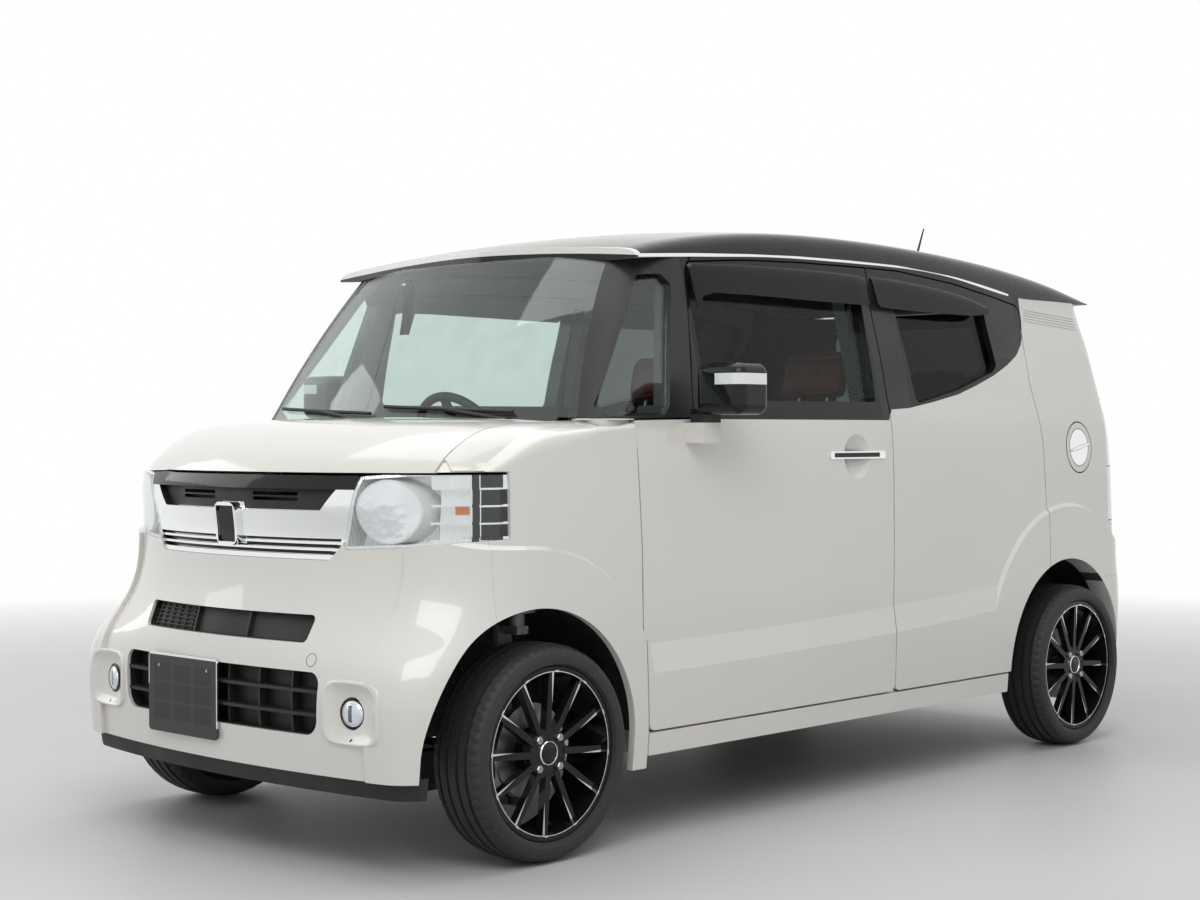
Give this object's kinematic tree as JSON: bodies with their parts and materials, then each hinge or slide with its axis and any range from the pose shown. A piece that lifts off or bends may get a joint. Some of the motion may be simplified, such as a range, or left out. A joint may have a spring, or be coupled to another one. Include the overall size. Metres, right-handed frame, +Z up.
{
  "type": "kei car",
  "caption": "Tall five-door kei hatchback with hinged doors, tailgate and bonnet, spinning wheels, steered front wheels and a working steering wheel.",
  "frame": {"origin": "on the ground under the middle of the car, half way along its length", "axes": "+Z up, the nose points to -Y, +X to the left side of the car"},
  "size_m": [1.824, 3.4007, 1.8087],
  "materials": {
    "body_white": "pearl gloss",
    "body_black": "gloss black",
    "plastic_black": "grained matt",
    "steel_dark": "satin black",
    "steel_grey": "plain",
    "cast": "rough",
    "alloy": "machined and black",
    "tyre": "matt",
    "glass": "clear",
    "glass_tint": "tinted",
    "lens_clear": "clear",
    "lens_red": "gloss red",
    "chrome": "bright",
    "reflector": "bright",
    "fabric_red": "woven",
    "dash": "grained"
  },
  "bodies": {
    "body": {"floor_pan": "body_white", "side_frame_left": "body_white", "side_frame_right": "body_white", "roof_panel": "body_white", "front_structure": "steel_dark", "front_fenders": "body_white", "front_bumper": "body_white", "rear_bumper": "body_white", "grille": "chrome", "headlamp_housings": "reflector", "headlamp_lenses": "lens_clear", "fog_lamps": "body_white", "tail_lamps": "lens_red", "fixed_windows": "glass", "wipers": "plastic_black", "engine": "cast", "front_suspension": "steel_dark", "rear_axle": "steel_dark", "dashboard": "dash", "front_seats": "fabric_red", "rear_seat": "fabric_red", "plate_holder": "body_white", "front_lip": "plastic_black", "aerial": "plastic_black", "exhaust": "steel_grey", "fuel_tank": "plastic_black", "sill_covers": "body_white"},
    "bonnet_lid": {"bonnet": "body_white"},
    "front_door_left": {"door_front_left": "body_white", "glass_front_left": "glass_tint", "mirror_left": "body_black"},
    "front_door_right": {"door_front_right": "body_white", "glass_front_right": "glass_tint", "mirror_right": "body_black"},
    "rear_door_left": {"door_rear_left": "body_white", "glass_rear_left": "glass_tint"},
    "rear_door_right": {"door_rear_right": "body_white", "glass_rear_right": "glass_tint"},
    "tailgate_door": {"tailgate": "body_white", "tailgate_glass": "glass_tint"},
    "filler_lid": {"fuel_lid": "body_white"},
    "steering": {"steering_wheel": "plastic_black"},
    "upright_left": {"knuckle_left": "cast"},
    "upright_right": {"knuckle_right": "cast"},
    "wheel_front_left": {"rim_front_left": "alloy", "tyre_front_left": "tyre"},
    "wheel_front_right": {"rim_front_right": "alloy", "tyre_front_right": "tyre"},
    "wheel_rear_left": {"rim_rear_left": "alloy", "tyre_rear_left": "tyre"},
    "wheel_rear_right": {"rim_rear_right": "alloy", "tyre_rear_right": "tyre"}
  },
  "joints": [
    {"name": "steer_left", "type": "hinge", "parent": "body", "child": "upright_left", "pos_m": [0.6, -1.1975, 0.27], "axis": [0, 0, 1], "range_deg": [-33, 33]},
    {"name": "spin_front_left", "type": "hinge", "parent": "upright_left", "child": "wheel_front_left", "pos_m": [0.6525, -1.1975, 0.27], "axis": [1, 0, 0], "continuous": true},
    {"name": "spin_rear_left", "type": "hinge", "parent": "body", "child": "wheel_rear_left", "pos_m": [0.6525, 1.3225, 0.27], "axis": [1, 0, 0], "continuous": true},
    {"name": "door_front_left", "type": "hinge", "parent": "body", "child": "front_door_left", "pos_m": [0.735, -0.88, 0.7], "axis": [0, 0, -1], "range_deg": [0, 65]},
    {"name": "door_rear_left", "type": "hinge", "parent": "body", "child": "rear_door_left", "pos_m": [0.735, 0.256, 0.7], "axis": [0, 0, -1], "range_deg": [0, 65]},
    {"name": "steer_right", "type": "hinge", "parent": "body", "child": "upright_right", "pos_m": [-0.6, -1.1975, 0.27], "axis": [0, 0, 1], "range_deg": [-33, 33]},
    {"name": "spin_front_right", "type": "hinge", "parent": "upright_right", "child": "wheel_front_right", "pos_m": [-0.6525, -1.1975, 0.27], "axis": [1, 0, 0], "continuous": true},
    {"name": "spin_rear_right", "type": "hinge", "parent": "body", "child": "wheel_rear_right", "pos_m": [-0.6525, 1.3225, 0.27], "axis": [1, 0, 0], "continuous": true},
    {"name": "door_front_right", "type": "hinge", "parent": "body", "child": "front_door_right", "pos_m": [-0.735, -0.88, 0.7], "axis": [0, 0, 1], "range_deg": [0, 65]},
    {"name": "door_rear_right", "type": "hinge", "parent": "body", "child": "rear_door_right", "pos_m": [-0.735, 0.256, 0.7], "axis": [0, 0, 1], "range_deg": [0, 65]},
    {"name": "steering_wheel", "type": "hinge", "parent": "body", "child": "steering", "pos_m": [-0.33, -0.52, 1.01], "axis": [0, 0.8829, 0.4695], "range_deg": [-470, 470]},
    {"name": "tailgate", "type": "hinge", "parent": "body", "child": "tailgate_door", "pos_m": [0, 1.59, 1.499], "axis": [1, 0, 0], "range_deg": [0, 80]},
    {"name": "bonnet", "type": "hinge", "parent": "body", "child": "bonnet_lid", "pos_m": [0, -1.1, 1.094], "axis": [-1, 0, 0], "range_deg": [0, 50]},
    {"name": "fuel_lid", "type": "hinge", "parent": "body", "child": "filler_lid", "pos_m": [0.716, 1.2645, 1.006], "axis": [0, 0, -1], "range_deg": [0, 90]}
  ],
  "couplings": [
    {"joint": "steer_right", "follows": "steer_left", "ratio": 1},
    {"joint": "steering_wheel", "follows": "steer_left", "ratio": 14}
  ]
}
